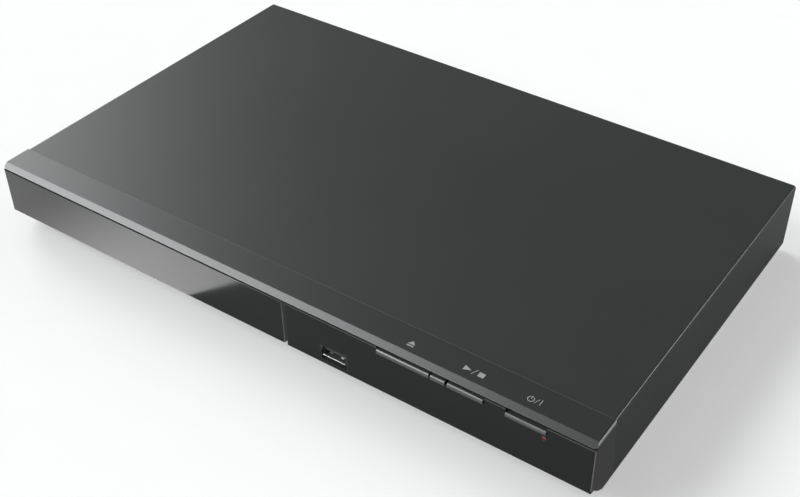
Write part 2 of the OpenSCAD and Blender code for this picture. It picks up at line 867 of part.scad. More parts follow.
module motor_pulley() {
    color("#d9d2c0") {
        upright(1, base_z + 6, pulley_z1 + 0.6, motor_x, motor_y);
        translate([motor_x, motor_y, 0]) pulley_wheel(motor_pulley_r);
    }
}

// Grooved wheel for the belt
module pulley_wheel(r) {
    middle = (pulley_z0 + pulley_z1) / 2;
    rotate_extrude()
        polygon([[0, pulley_z0], [r + 1, pulley_z0], [r + 1, pulley_z0 + 0.5], [r, middle - 0.9],
                 [r, middle + 0.9], [r + 1, pulley_z1 - 0.5], [r + 1, pulley_z1], [0, pulley_z1]]);
}

module belt_loop(grow) {
    hull() {
        translate([pulley_x, pulley_y]) circle(pulley_r + grow, $fn = 60);
        translate([motor_x, motor_y]) circle(motor_pulley_r + grow, $fn = 24);
    }
}

module drive_belt() {
    middle = (pulley_z0 + pulley_z1) / 2;
    color("#141414") translate([0, 0, middle - 0.6]) linear_extrude(height = 1.2) difference() {
        belt_loop(0.12 + belt_t);
        belt_loop(0.12);
    }
}

module clamp_bridge() {
    x = side_x + side_t + 4.5;
    color("#26272a") difference() {
        union() {
            block([tray_cx - x, disc_y - 15, bridge_z], [tray_cx + x, disc_y + 15, bridge_z + bridge_t]);
            for (y = [-15, 13.4])
                block([tray_cx - side_x + 4, disc_y + y, bridge_z], [tray_cx + side_x - 4, disc_y + y + 1.6, bridge_z + 2.4]);
        }
        upright(10, bridge_z - 1, bridge_z + 3, tray_cx, disc_y);
        for (side = [-1, 1]) {
            upright(1.6, bridge_z - 1, bridge_z + 3, tray_cx + side * bridge_screw_x, disc_y);
            translate([tray_cx + side * (side_x - 28), disc_y, bridge_z - 1]) chip(28, 12, 4);
        }
    }
}

module clamper() {
    color("#e4e2da") translate([tray_cx, disc_y, 0]) rotate_extrude()
        polygon([[9, table_z + clamper_gap], [13, table_z + clamper_gap], [13, bridge_z - 1.2],
                 [11, bridge_z - 0.4], [9.2, bridge_z - 0.4], [9.2, bridge_z + bridge_t + 0.2],
                 [12.2, bridge_z + bridge_t + 0.2], [12.2, bridge_z + bridge_t + 1], [11.4, bridge_z + bridge_t + 1.4],
                 [0, bridge_z + bridge_t + 1.4], [0, bridge_z - 0.6], [8.6, bridge_z - 0.6]]);
}

// ---------- tray ----------

// Involute helper: polar angle of the flank at pressure angle a
function involute(a) = tan(a) * 180 / PI - a;

function gear_tooth(m, teeth, slack) =
    let (rp = m * teeth / 2, rb = rp * cos(20), rf = rp - 1.25 * m, ra = rp + m,
         half = 90 / teeth - slack / (4 * rp) * 180 / PI,
         flank = function (r) half + involute(20) - involute(acos(min(1, rb / r))),
         radii = [rf, max(rf, rb), rp, (rp + ra) / 2, ra])
    concat([for (r = radii) [r, -flank(max(r, rb))]],
           [for (k = [4 : -1 : 0]) [radii[k], flank(max(radii[k], rb))]]);

module gear_outline(m, teeth) {
    tooth = gear_tooth(m, teeth, backlash);
    polygon([for (k = [0 : teeth - 1], p = tooth)
        let (a = 360 / teeth * k + p[1]) p[0] * [cos(a), sin(a)]]);
}

module rack_outline(m, y0, y1) {
    pitch = PI * m;
    half = pitch / 4 - backlash / 4;
    first = ceil((y0 - drive_y) / pitch);
    last = floor((y1 - drive_y) / pitch) - 1;
    polygon(concat([[-4.4, y0 - 1], [-1.25 * m, y0 - 1]],
        [for (k = [first : last])
            let (c = drive_y + (k + 0.5) * pitch)
            each [[-1.25 * m, c - half - 1.25 * m * tan(20)], [m, c - half + m * tan(20)],
                  [m, c + half - m * tan(20)], [-1.25 * m, c + half + 1.25 * m * tan(20)]]],
        [[-1.25 * m, y1 + 1], [-4.4, y1 + 1]]));
}

module disc_tray() {
    x = tray_w / 2;
    color("#1a1b1d") {
        difference() {
            union() {
                translate([tray_cx, 0, 0]) block([-x, tray_y0, tray_z0], [x, tray_y1, tray_z1]);
                // Fall of the front lip, down to the door's pad
                translate([tray_cx, 0, 0])
                    block([-tray_pad, tray_y0, tray_z0 - 2.4], [tray_pad, tray_y0 + 2, tray_z0 + eps]);
            }
            upright(disc_r, seat_z, tray_z1 + 1, tray_cx, disc_y);
            upright(small_disc_r, small_seat_z, tray_z1 + 1, tray_cx, disc_y);
            // Throat for the turntable and the pickup
            upright(throat_r, tray_z0 - 1, tray_z1 + 1, tray_cx, disc_y);
            block([tray_cx - throat_r, disc_y, tray_z0 - 1], [tray_cx + throat_r, throat_y, tray_z1 + 1]);
            // Finger notches on both sides of the disc
            for (side = [-1, 1]) upright(15, small_seat_z, tray_z1 + 1, tray_cx + side * 26, disc_y - disc_r + 8);
            // Hollow underside of the corners and the rear
            for (side = [-1, 1]) {
                translate([tray_cx + side * (x - 10), 0, 0]) block([-7, 12, tray_z0 - 1], [7, 26, tray_z1 - 1.6]);
                for (row = [0, 1])
                    translate([tray_cx + side * 24, 0, 0])
                        block([-19, throat_y + 2 + 13 * row, tray_z0 - 1], [19, throat_y + 13 + 13 * row, tray_z1 - 1.8]);
            }
        }
        // Rack under the left edge
        translate([rack_x, 0, rack_z0]) linear_extrude(height = tray_z0 - rack_z0 + eps)
            rack_outline(rack_teeth_m, 14, drive_y + tray_travel + 5);
    }
}

module tray_door() {
    color("#101012") difference() {
        block([-half_w, 0, door_z], [door_x1, plate_t - 0.1, plate_top]);
        for (x = [[-half_w + 2, tray_cx - tray_pad - 2.5], [tray_cx + tray_pad + 2.5, door_x1 - 2]])
            block([x[0], 2, door_z + 1.8], [x[1], plate_t + 1, plate_top - 1.8]);
        block([tray_cx - tray_pad, 2, door_z + 1.8], [tray_cx + tray_pad, plate_t + 1, tray_z0 - 3.4]);
        edge_round(edge_r, -1, -half_w, 0, door_z - 1, plate_top + 1);
        edge_round(edge_r, 1, door_x1, 0, door_z - 1, plate_top + 1);
    }
}

module drive_gear() {
    color("#e9e6dc") translate([drive_x, drive_y, 0]) difference() {
        union() {
            translate([0, 0, base_z + 8.6]) linear_extrude(height = 3) gear_outline(big_teeth_m, big_teeth);
            upright(5, base_z + 8.6, rack_z0 + 0.6, 0, 0);
            translate([0, 0, rack_z0 + 0.2]) linear_extrude(height = 2.8) gear_outline(rack_teeth_m, drive_teeth);
        }
        upright(2 + gear_run, base_z, tray_z1, 0, 0);
    }
}

module pulley_gear() {
    color("#d9d2c0") translate([pulley_x, pulley_y, 0]) difference() {
        union() {
            translate([0, 0, base_z + 8.4]) rotate([0, 0, drive_step + 180 + 180 / pinion_teeth])
                linear_extrude(height = 4.4) gear_outline(big_teeth_m, pinion_teeth);
            pulley_wheel(pulley_r);
        }
        upright(1.5 + gear_run, base_z, tray_z1, 0, 0);
    }
}

// ---------- lift frame and traverse ----------

// Lowers what is drawn level by the lift angle, about the pivot of the lift frame
module lowered() {
    translate([tray_cx, pivot_y, pivot_z]) rotate([lift_angle, 0, 0])
        translate([0, -pivot_y, -pivot_z]) children();
}

module cam_slot(x) {
    hull() {
        translate([x, pin_low]) circle(cam_slot_r, $fn = 32);
        translate([x - cam_travel, cam_pin_z]) circle(cam_slot_r, $fn = 32);
    }
}

module cam_slide() {
    color("#e9e6dc") translate([tray_cx, cam_y + cam_t, 0]) rotate([90, 0, 0])
        linear_extrude(height = cam_t) difference() {
            translate([-41, deck_top - cam_groove + 0.1])
                square([64, tray_z0 - 0.7 - deck_top + cam_groove]);
            cam_slot(-cam_pin_x);
            cam_slot(cam_pin_x);
        }
}

module lift_frame() {
    color("#2b2c30") lowered() {
        difference() {
            union() {
                block([-lift_x, lift_y0, lift_z], [lift_x, lift_y1, lift_z + lift_t]);
                for (side = [-1, 1]) {
                    translate([side * (lift_x - 2.5), 0, 0]) {
                        along_x(4, -2.5, 2.5, pivot_y, pivot_z);
                        block([-2.5, lift_y1 - lift_bar, pivot_z - 2], [2.5, pivot_y, lift_z + lift_t]);
                    }
                    along_x(pivot_r, min(side * (lift_x - 1), side * 46), max(side * (lift_x - 1), side * 46), pivot_y, pivot_z);
                    // Ear and pin that run in the cam slide
                    translate([side * cam_pin_x, 0, 0]) {
                        block([-2.5, lift_y0, lift_z], [2.5, lift_y0 + 3, cam_pin_z + 1.7]);
                        along_y(cam_pin_r, cam_y + 0.4, lift_y0 + 1, 0, cam_pin_z);
                    }
                }
            }
            difference() {
                block([-lift_in, lift_y0 + 5, lift_z - 1], [lift_in, lift_y1 - lift_bar, lift_z + lift_t + 1]);
                for (side = [-1, 1])
                    block([side * damper_x - 6, damper_y[0] - 5, lift_z - 2],
                          [side * damper_x + 6, damper_y[0] + 5, lift_z + lift_t + 2]);
            }
        }
    }
}

module traverse_deck() {
    color("#c3c6c8") lowered() {
        difference() {
            block([-36, 61, plate_z], [36, lift_y1 - 0.5, plate_top_z]);
            block([-26, 91, plate_z - 1], [26, rod_y[1] - 4, plate_top_z + 1]);
            for (side = [-1, 1], y = damper_y) upright(2.3, plate_z - 1, plate_top_z + 1, side * damper_x, y);
            upright(4, plate_z - 1, plate_top_z + 1, 0, disc_y);
        }
        // Holders of the rods and of the lead screw
        for (side = [-1, 1], y = [rod_y[0], rod_y[1] - 4])
            difference() {
                block([side * rod_x - 3.5, y, rod_z - 2.6], [side * rod_x + 3.5, y + 4, plate_z + eps]);
                along_y(rod_r, rod_y[0] + 1, rod_y[1] - 1, side * rod_x, rod_z);
            }
        difference() {
            block([screw_x - 3, 88, screw_z - 2.2], [screw_x + 3, 91, plate_z + eps]);
            along_y(lead_r + gear_run, 87, 92, screw_x, screw_z);
        }
        // Saddle that the sled motor is glued in
        difference() {
            block([screw_x - 4, sled_y[0] + 2, screw_z + 3], [screw_x + 4, sled_y[1] - 2, plate_z + eps]);
            along_y(sled_r + eps, sled_y[0], sled_y[1], screw_x, screw_z);
        }
    }
}

module deck_dampers() {
    color("#1a1a1a") lowered() for (side = [-1, 1], y = damper_y)
        translate([side * damper_x, y, 0]) rotate_extrude()
            polygon([[0.9, lift_z + lift_t], [3.6, lift_z + lift_t], [3.6, plate_z], [2.2, plate_z],
                     [2.2, plate_top_z], [3.6, plate_top_z], [3.6, plate_top_z + 1], [0.9, plate_top_z + 1]]);
}

module spindle_motor() {
    color("#9a9ea1") lowered() difference() {
        union() {
            upright(13, plate_top_z, plate_top_z + 0.8, 0, disc_y);
            upright(11, plate_top_z + 0.7, plate_top_z + 3.6, 0, disc_y);
        }
        upright(1.25, plate_top_z + 0.4, plate_top_z + 4, 0, disc_y);
    }
}

module turntable() {
    color("#dcdad2") lowered() translate([0, disc_y, 0]) rotate_extrude()
        polygon([[0, plate_top_z + 0.6], [1.2, plate_top_z + 0.6], [1.2, plate_top_z + 3.9], [6, plate_top_z + 3.9],
                 [9, table_z - 1.4], [15, table_z - 1.4], [15, table_z], [7.4, table_z],
                 [7.2, table_z + 0.6], [4.6, table_z + 1.8], [0, table_z + 1.8]]);
}

module guide_rods() {
    color("#d5d8da") lowered() for (side = [-1, 1])
        along_y(rod_r, rod_y[0] + 1, rod_y[1] - 1, side * rod_x, rod_z);
}

module sled_motor() {
    color("#b9bcbe") lowered() difference() {
        along_y(sled_r, sled_y[0], sled_y[1], screw_x, screw_z);
        along_y(0.8, sled_y[0] - 1, sled_y[0] + 6, screw_x, screw_z);
    }
}

module lead_screw() {
    color("#d5d8da") lowered() {
        along_y(lead_r, 87.5, sled_y[0] - 0.4, screw_x, screw_z);
        along_y(0.75, sled_y[0] - 1, sled_y[0] + 5, screw_x, screw_z);
    }
}

module pickup_carriage() {
    color("#8f9396") lowered() difference() {
        union() {
            block([-17.5, carriage_y[0], rod_z - 3], [17.5, carriage_y[1], table_z - 6.4]);
            for (side = [-1, 1]) along_y(2.9, carriage_y[0], carriage_y[1], side * rod_x, rod_z);
            for (side = [-1, 1])
                block([min(side * 17, side * (rod_x - 1.6)), carriage_y[0], rod_z - 1.4],
                      [max(side * 17, side * (rod_x - 1.6)), carriage_y[1], rod_z + 1.4]);
            // Follower over the lead screw
            block([screw_x - 1, follower_y[0], screw_z + lead_r + 0.1], [-rod_x - 1.6, follower_y[1], rod_z + 1]);
            upright(5.4, table_z - 6.5, table_z - 3.2, 0, lens_y);
        }
        for (side = [-1, 1])
            along_y(rod_r + gear_run, carriage_y[0] - 1, carriage_y[1] + 1, side * rod_x, rod_z);
        upright(3, table_z - 4.4, table_z - 3, 0, lens_y);
    }
}

module pickup_lens() {
    color("#9fc6d8") lowered() translate([0, lens_y, table_z - 4.4]) rotate_extrude()
        polygon([[0, 0], [2.95, 0], [2.95, 1.2], [1.8, 1.9], [0, 2.2]]);
}

in_place() top_cover();
in_place() bottom_chassis();
in_place() front_panel();
in_place() button_trim();
in_place() standby_led();
in_place() usb_shell();
in_place() usb_tongue();
in_place() feet();
in_place() foot_pads();
in_place() cover_screws();
in_place() chassis_screws();
in_place() inner_screws();
in_place() front_board();
in_place() switch_bodies();
in_place() main_board();
in_place() main_chips();
in_place() main_capacitors();
in_place() board_sockets();
in_place() av_jack_block();
in_place() jack_sleeves();
in_place() video_insert();
in_place() left_insert();
in_place() right_insert();
in_place() digital_insert();
in_place() jack_contacts();
in_place() ac_inlet();
in_place() ac_pins();
in_place() power_board();
in_place() power_transformer();
in_place() mains_capacitor();
in_place() mains_choke();
in_place() fuse();
in_place() power_heatsink();
in_place() front_ribbon();
in_place() power_lead();
in_place() loader_ribbon();
in_place() loader_frame();
in_place() loading_motor();
in_place() drive_belt();
in_place() clamp_bridge();
in_place() disc_tray();
in_place() tray_door();
in_place() drive_gear();
in_place() pulley_gear();
in_place() motor_pulley();
in_place() cam_slide();
in_place() lift_frame();
in_place() traverse_deck();
in_place() deck_dampers();
in_place() spindle_motor();
in_place() guide_rods();
in_place() sled_motor();
in_place() lead_screw();
in_place() turntable();
in_place() clamper();
in_place() pickup_carriage();
in_place() pickup_lens();
in_place() eject_button();
in_place() play_button();
in_place() power_button();
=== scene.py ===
"""A slim disc player with its drawer, dressed in its own finishes on a pale studio floor."""
import math

import bpy
from mathutils import Matrix, Vector


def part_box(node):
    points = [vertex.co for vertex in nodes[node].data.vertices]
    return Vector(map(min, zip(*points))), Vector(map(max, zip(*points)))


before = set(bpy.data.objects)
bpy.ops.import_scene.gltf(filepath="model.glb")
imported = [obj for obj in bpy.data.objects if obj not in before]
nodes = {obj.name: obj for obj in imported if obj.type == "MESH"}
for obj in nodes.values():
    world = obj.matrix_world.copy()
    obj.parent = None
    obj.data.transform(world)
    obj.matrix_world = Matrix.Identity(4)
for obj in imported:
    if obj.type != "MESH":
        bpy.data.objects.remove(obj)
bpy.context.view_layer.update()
bpy.ops.object.select_all(action="DESELECT")

# Camera. It looks down on the player from its right front corner, close enough for the
# lines to draw together, with a small lens shift that sets the body in the frame.
camera_data = bpy.data.cameras.new("studio_camera")
camera_data.sensor_fit = "HORIZONTAL"
camera_data.sensor_width = 36
camera_data.lens = 55.597
camera_data.shift_x = -0.0637
camera_data.shift_y = 0.0171
camera = bpy.data.objects.new("studio_camera", camera_data)
bpy.context.collection.objects.link(camera)
camera_spot = Vector((0.28598, -0.39958, 0.38111))
sight_right = Vector((0.834441, 0.550901, 0.014676))
sight_up = Vector((-0.357096, 0.520221, 0.775791))
sight_axes = Matrix((sight_right, sight_up, sight_right.cross(sight_up))).transposed()
camera.matrix_world = Matrix.Translation(camera_spot) @ sight_axes.to_4x4()
bpy.context.scene.camera = camera
bpy.context.scene.view_settings.view_transform = "Standard"


# Floor and light. A wide matt white table under an even sky and a broad overhead cloth. Two
# soft windows stand on the left, one behind the player and one before it, and a narrow strip
# of light stands behind it on the right.
class Wire:
    """A value in a finish's node tree; reckoning with it adds the Math nodes."""

    def __init__(self, tree, socket=None):
        self.tree = tree
        self.socket = socket

    def node(self, kind, settings=None, inputs=None, out=0):
        made = self.tree.nodes.new(kind)
        for key, value in (settings or {}).items():
            setattr(made, key, value)
        for key, value in (inputs or {}).items():
            if isinstance(value, Wire):
                self.tree.links.new(value.socket, made.inputs[key])
            else:
                made.inputs[key].default_value = value
        return Wire(self.tree, made.outputs[out] if made.outputs else None)

    def reckon(self, operation, first, second=0.0):
        return self.node("ShaderNodeMath", {"operation": operation}, {0: first, 1: second})

    def __add__(self, other):
        return self.reckon("ADD", self, other)

    def __sub__(self, other):
        return self.reckon("SUBTRACT", self, other)

    def __rsub__(self, other):
        return self.reckon("SUBTRACT", other, self)

    def __mul__(self, other):
        return self.reckon("MULTIPLY", self, other)

    def __truediv__(self, other):
        return self.reckon("DIVIDE", self, other)

    def __pow__(self, other):
        return self.reckon("POWER", self, other)

    def __mod__(self, other):
        return self.reckon("FLOORED_MODULO", self, other)

    def __lt__(self, other):
        return self.reckon("LESS_THAN", self, other)

    def __gt__(self, other):
        return self.reckon("GREATER_THAN", self, other)

    def __abs__(self):
        return self.reckon("ABSOLUTE", self)

    def __or__(self, other):
        return self.reckon("MAXIMUM", self, other)

    __radd__ = __add__


table_span = 40
bpy.ops.mesh.primitive_plane_add(size=table_span, location=(0, 0, 0))
table = bpy.context.object
table.name = "table_top"
table_white = bpy.data.materials.new("matt_white_table")
table_white.use_nodes = True
table_wire = Wire(table_white.node_tree)
table_face = table_white.node_tree.nodes["Principled BSDF"]
table_face.inputs["Specular IOR Level"].default_value = 0.0
table_face.inputs["Roughness"].default_value = 0.9
table_cloud = table_wire.node("ShaderNodeTexNoise", inputs={
    "Vector": table_wire.node("ShaderNodeTexCoord", out="Object"), "Scale": 40.0, "Detail": 3.0})
table_tone = table_wire.node("ShaderNodeMix", {"data_type": "RGBA"}, {
    0: table_cloud, 6: (0.90, 0.89, 0.892, 1), 7: (0.93, 0.92, 0.922, 1)}, out=2)
table_links = table_white.node_tree.links
table_links.new(table_tone.socket, table_face.inputs["Base Color"])

# Seen straight, in a mirror or through glass, the table is lifted part of the way to white.
lift_to_white = 0.36
seen = table_wire.node("ShaderNodeLightPath", out="Is Camera Ray")
seen = seen | table_wire.node("ShaderNodeLightPath", out="Is Glossy Ray")
seen = seen | table_wire.node("ShaderNodeLightPath", out="Is Transmission Ray")
pure_white = table_wire.node("ShaderNodeEmission", inputs={"Color": (1, 1, 1, 1), "Strength": 1.0})
table_mix = table_wire.node("ShaderNodeMixShader", inputs={0: seen * lift_to_white, 2: pure_white})
table_links.new(table_face.outputs[0], table_mix.socket.node.inputs[1])
table_links.new(table_mix.socket, table_white.node_tree.nodes["Material Output"].inputs[0])
table.data.materials.append(table_white)

sky = bpy.data.worlds.new("even_sky")
sky.use_nodes = True
sky.node_tree.nodes["Background"].inputs["Color"].default_value = (0.98, 1.0, 1.0, 1)
sky.node_tree.nodes["Background"].inputs["Strength"].default_value = 0.25
bpy.context.scene.world = sky


def hang_light(name, azimuth, elevation, spread, level, tint=(1, 1, 1)):
    """A far, soft light, with its angles in degrees and, as its level, the share of white that
    it gives a face turned to it."""
    lamp = bpy.data.lights.new(name, "SUN")
    lamp.angle = math.radians(spread)
    lamp.energy = level * math.pi
    lamp.color = tint
    hung = bpy.data.objects.new(name, lamp)
    bpy.context.collection.objects.link(hung)
    turn = math.radians(azimuth)
    rise = math.radians(elevation)
    towards = Vector((math.cos(turn) * math.cos(rise), math.sin(turn) * math.cos(rise), math.sin(rise)))
    hung.rotation_euler = towards.to_track_quat("Z", "Y").to_euler()


hang_light("overhead_cloth", azimuth=90, elevation=88, spread=80, level=0.10)
hang_light("left_rear_window", azimuth=160, elevation=33, spread=30.6, level=0.56,
           tint=(0.955, 1.0, 0.99))
hang_light("left_front_window", azimuth=217, elevation=32.7, spread=30, level=0.72,
           tint=(0.965, 1.0, 0.995))
hang_light("rear_strip", azimuth=50, elevation=28, spread=16, level=0.12)

# Low light. A shallow light panel lies before the drawer's left part, with its right end cut
# on the slant. Only reflections show it, and it fades towards its left end.
bpy.ops.mesh.primitive_plane_add(size=1, location=(0, 0, 0))
low_panel = bpy.context.object
low_panel.name = "low_light_panel"
panel_left = -0.230
panel_front, panel_front_end = -0.165, -0.023
panel_rear, panel_rear_end = -0.1065, -0.059
panel_z = 0.0008
panel_corners = ((panel_left, panel_front), (panel_front_end, panel_front),
                 (panel_left, panel_rear), (panel_rear_end, panel_rear))
for corner, spot in zip(low_panel.data.vertices, panel_corners):
    corner.co = (*spot, panel_z)
low_panel.visible_camera = low_panel.visible_diffuse = low_panel.visible_shadow = False
low_glow = bpy.data.materials.new("low_light_glow")
low_glow.use_nodes = True
low_glow.node_tree.nodes.clear()
low_wire = Wire(low_glow.node_tree)
low_place = low_wire.node("ShaderNodeTexCoord", out="Object")
low_x = low_wire.node("ShaderNodeSeparateXYZ", inputs={"Vector": low_place})
dim_x, dim_strength = -0.175, 3.3
bright_x, bright_strength = -0.085, 10.0
low_fade = low_wire.node("ShaderNodeMapRange", {"interpolation_type": "SMOOTHSTEP"}, {
    "Value": low_x, "From Min": dim_x, "From Max": bright_x,
    "To Min": dim_strength, "To Max": bright_strength})
low_shine = low_wire.node("ShaderNodeEmission", inputs={"Color": (1, 1, 1, 1), "Strength": low_fade})
low_wire.node("ShaderNodeOutputMaterial", inputs={"Surface": low_shine})
low_panel.data.materials.append(low_glow)


# Bottom chassis and pickup deck. Pressed from zinc-plated steel, the chassis with folded
# sides and a rear wall, and screwed up from below; the plating shows a faint crystal pattern
# and rolling marks.
class Finish:
    """A finish being mixed: its material, its shader and where each point lies on the piece."""

    def __init__(self, name, even_qualities):
        self.material = bpy.data.materials.new(name)
        self.material.use_nodes = True
        self.shader = self.material.node_tree.nodes["Principled BSDF"]
        for quality, value in even_qualities.items():
            self.shader.inputs[quality].default_value = value
        self.wire = Wire(self.material.node_tree)
        self.place = self.wire.node("ShaderNodeTexCoord", out="Object")
        self.x, self.y, self.z = (
            self.wire.node("ShaderNodeSeparateXYZ", inputs={"Vector": self.place}, out=axis)
            for axis in "XYZ")

    def speckle(self, size, detail=2.0, roughness=0.5, stretch=(1, 1, 1)):
        """Cloudy values from 0 to 1, with spots of about that size in metres."""
        spread = self.wire.node("ShaderNodeVectorMath", {"operation": "MULTIPLY"}, {
            0: self.place, 1: stretch})
        return self.wire.node("ShaderNodeTexNoise", inputs={
            "Vector": spread, "Scale": 1 / size, "Detail": detail, "Roughness": roughness})

    def crystals(self, size, out="Distance"):
        """Cells of about that size in metres: each point's Distance to a cell's middle, or the
        cell's own Color."""
        return self.wire.node("ShaderNodeTexVoronoi", inputs={
            "Vector": self.place, "Scale": 1 / size}, out=out)

    def grade(self, value, low, high, bottom=0.0, top=1.0):
        """Carries a value from one range to another, with nothing outside it."""
        return self.wire.node("ShaderNodeMapRange", {"clamp": True}, {
            "Value": value, "From Min": low, "From Max": high, "To Min": bottom, "To Max": top})

    def blend(self, share, first, second):
        """The first tone where the share is 0, the second where it is 1."""
        first, second = ((*tone, 1) if isinstance(tone, tuple) else tone for tone in (first, second))
        return self.wire.node("ShaderNodeMix", {"data_type": "RGBA"}, {0: share, 6: first, 7: second}, out=2)

    def edges(self, radius):
        """How near a point is to an edge of the piece, from 0 to 1."""
        soft = self.wire.node("ShaderNodeBevel", {"samples": 4}, {"Radius": radius})
        flat = self.wire.node("ShaderNodeNewGeometry", out="True Normal")
        along = self.wire.node("ShaderNodeVectorMath", {"operation": "DOT_PRODUCT"}, {
            0: soft, 1: flat}, out="Value")
        return self.grade(1 - along, 0.01, 0.28)

    def turned(self, axis, flat=False):
        """How far a face turns along X, Y or Z, from -1 to 1; flat leaves its smoothing out."""
        normal = self.wire.node("ShaderNodeNewGeometry", out="True Normal" if flat else "Normal")
        return self.wire.node("ShaderNodeSeparateXYZ", inputs={"Vector": normal}, out=axis)

    def relief(self, height, depth, radius=0.0):
        """Raises the surface by height times depth in metres, over edges eased by a radius."""
        inputs = {"Height": height, "Distance": depth, "Strength": 1.0}
        if radius:
            inputs["Normal"] = self.wire.node("ShaderNodeBevel", {"samples": 4}, {"Radius": radius})
        self.give("Normal", self.wire.node("ShaderNodeBump", inputs=inputs))

    def give(self, quality, value):
        self.material.node_tree.links.new(value.socket, self.shader.inputs[quality])

    def dress(self, *names):
        for name in names:
            for place in nodes[name].material_slots:
                place.material = self.material


plating = Finish("zinc_plating", {"Metallic": 1.0})
crystal = plating.crystals(0.0045, out="Color")
rolled = plating.speckle(0.0009, 3.0, 0.6, (0.05, 1, 1))
haze = plating.speckle(0.03, 3.0)
tone = plating.blend(haze * 0.6 + rolled * 0.4, (0.40, 0.41, 0.41), (0.56, 0.565, 0.56))
shine = plating.wire.node("ShaderNodeSeparateColor", inputs={"Color": crystal})
plating.give("Base Color", plating.blend(shine * 0.3, tone, (0.62, 0.63, 0.64)))
plating.give("Roughness", plating.grade(shine * 0.5 + haze * 0.5, 0.1, 0.9, 0.30, 0.52))
plating.relief(rolled, 0.00003, 0.0003)
plating.dress("bottom_chassis", "traverse_deck")

# Feet and black mouldings. Four feet are pushed up through the floor; the loader's frames, the
# switches and the rear sockets' blocks are moulded from the same black plastic.
foot_plastic = Finish("moulded_black", {"Specular IOR Level": 0.35})
sparks = foot_plastic.speckle(0.0003, 2.0, 0.6)
cloud = foot_plastic.speckle(0.02, 3.0)
foot_edge = foot_plastic.edges(0.0005)
foot_wear = foot_edge * 0.4 + cloud * 0.15
foot_plastic.give("Base Color", foot_plastic.blend(foot_wear, (0.020, 0.020, 0.021), (0.060, 0.060, 0.062)))
foot_plastic.give("Roughness", foot_plastic.grade(cloud, 0.3, 0.7, 0.42, 0.56))
foot_plastic.relief(sparks, 0.00004, 0.0003)
foot_plastic.dress("feet", "switch_bodies", "av_jack_block", "ac_inlet")
foot_plastic.dress("loader_frame", "clamp_bridge", "lift_frame")

# Rubber parts. A ring stuck under each foot and dusty where it meets the shelf, the belt, and
# the four soft rings that the deck hangs in.
rubber = Finish("grey_rubber", {"Specular IOR Level": 0.25})
dust = rubber.speckle(0.004, 4.0, 0.65)
dusty = rubber.grade(dust, 0.45, 0.75)
rubber.give("Base Color", rubber.blend(dusty, (0.022, 0.022, 0.023), (0.075, 0.072, 0.068)))
rubber.give("Roughness", rubber.grade(dust, 0.2, 0.8, 0.62, 0.9))
rubber.relief(rubber.speckle(0.0004, 2.0, 0.7), 0.00006, 0.0003)
rubber.dress("foot_pads", "drive_belt", "deck_dampers")

# Boards. The main and front boards are glass fibre under green lacquer with copper tracks
# beneath it; the power board is tan phenolic paper with a few wide tracks.
lacquer = Finish("green_lacquer", {"Specular IOR Level": 0.5, "Coat Weight": 0.35, "Coat Roughness": 0.15})
track_run = (lacquer.speckle(0.004, 1.0, 0.4, (1, 0.35, 1)) * 9) % 1
tracks = lacquer.grade(abs(track_run - 0.5), 0.16, 0.24)
pads = lacquer.crystals(0.0042) < 0.2
mask_tone = lacquer.blend(tracks, (0.012, 0.10, 0.035), (0.025, 0.17, 0.06))
lacquer.give("Base Color", lacquer.blend(pads, mask_tone, (0.50, 0.50, 0.47)))
lacquer.give("Metallic", pads * 0.8)
lacquer.give("Roughness", lacquer.grade(lacquer.speckle(0.006), 0.3, 0.7, 0.30, 0.45))
lacquer.relief(tracks + pads * 1.5, 0.00005)
lacquer.dress("front_board", "main_board")

phenolic = Finish("tan_phenolic", {"Specular IOR Level": 0.4})
wide_run = (phenolic.speckle(0.012, 1.0, 0.4) * 6) % 1
wide_tracks = phenolic.grade(abs(wide_run - 0.5), 0.22, 0.28)
fibres = phenolic.speckle(0.0012, 4.0, 0.7, (0.3, 1, 1))
shaded = wide_tracks * 0.6 + fibres * 0.3
phenolic.give("Base Color", phenolic.blend(shaded, (0.36, 0.23, 0.10), (0.22, 0.14, 0.06)))
phenolic.give("Roughness", phenolic.grade(fibres, 0.3, 0.7, 0.45, 0.62))
phenolic.relief(fibres * 0.3 + wide_tracks, 0.00004)
phenolic.dress("power_board")

# Chips, capacitors and sockets. Epoxy blocks, sleeved cans with a pale stripe down one side
# and a bare metal top, and white nylon sockets, all soldered to the boards. The white ring of
# the rear sockets is the same nylon.
epoxy = Finish("chip_epoxy", {"Specular IOR Level": 0.4})
epoxy_dots = epoxy.speckle(0.0002, 3.0, 0.7)
epoxy_wear = epoxy.edges(0.0004) * 0.5 + epoxy_dots * 0.2
epoxy.give("Base Color", epoxy.blend(epoxy_wear, (0.014, 0.014, 0.015), (0.055, 0.055, 0.055)))
epoxy.give("Roughness", epoxy.grade(epoxy_dots, 0.3, 0.7, 0.48, 0.64))
epoxy.relief(epoxy_dots, 0.00003, 0.0002)
epoxy.dress("main_chips")

sleeve = Finish("capacitor_sleeve", {"Specular IOR Level": 0.5})
can_top = sleeve.turned("Z") > 0.7
stripe = (sleeve.turned("X") > 0.72) * (1 - can_top)
wrap = sleeve.blend(sleeve.speckle(0.003) * 0.4, (0.012, 0.020, 0.055), (0.03, 0.04, 0.10))
striped = sleeve.blend(stripe, wrap, (0.42, 0.43, 0.45))
sleeve.give("Base Color", sleeve.blend(can_top, striped, (0.62, 0.62, 0.63)))
sleeve.give("Metallic", can_top)
sleeve.give("Roughness", sleeve.grade(sleeve.speckle(0.002), 0.3, 0.7, 0.25, 0.38))
sleeve.relief(sleeve.speckle(0.0006, 2.0), 0.00002, 0.0004)
sleeve.dress("main_capacitors", "mains_capacitor")

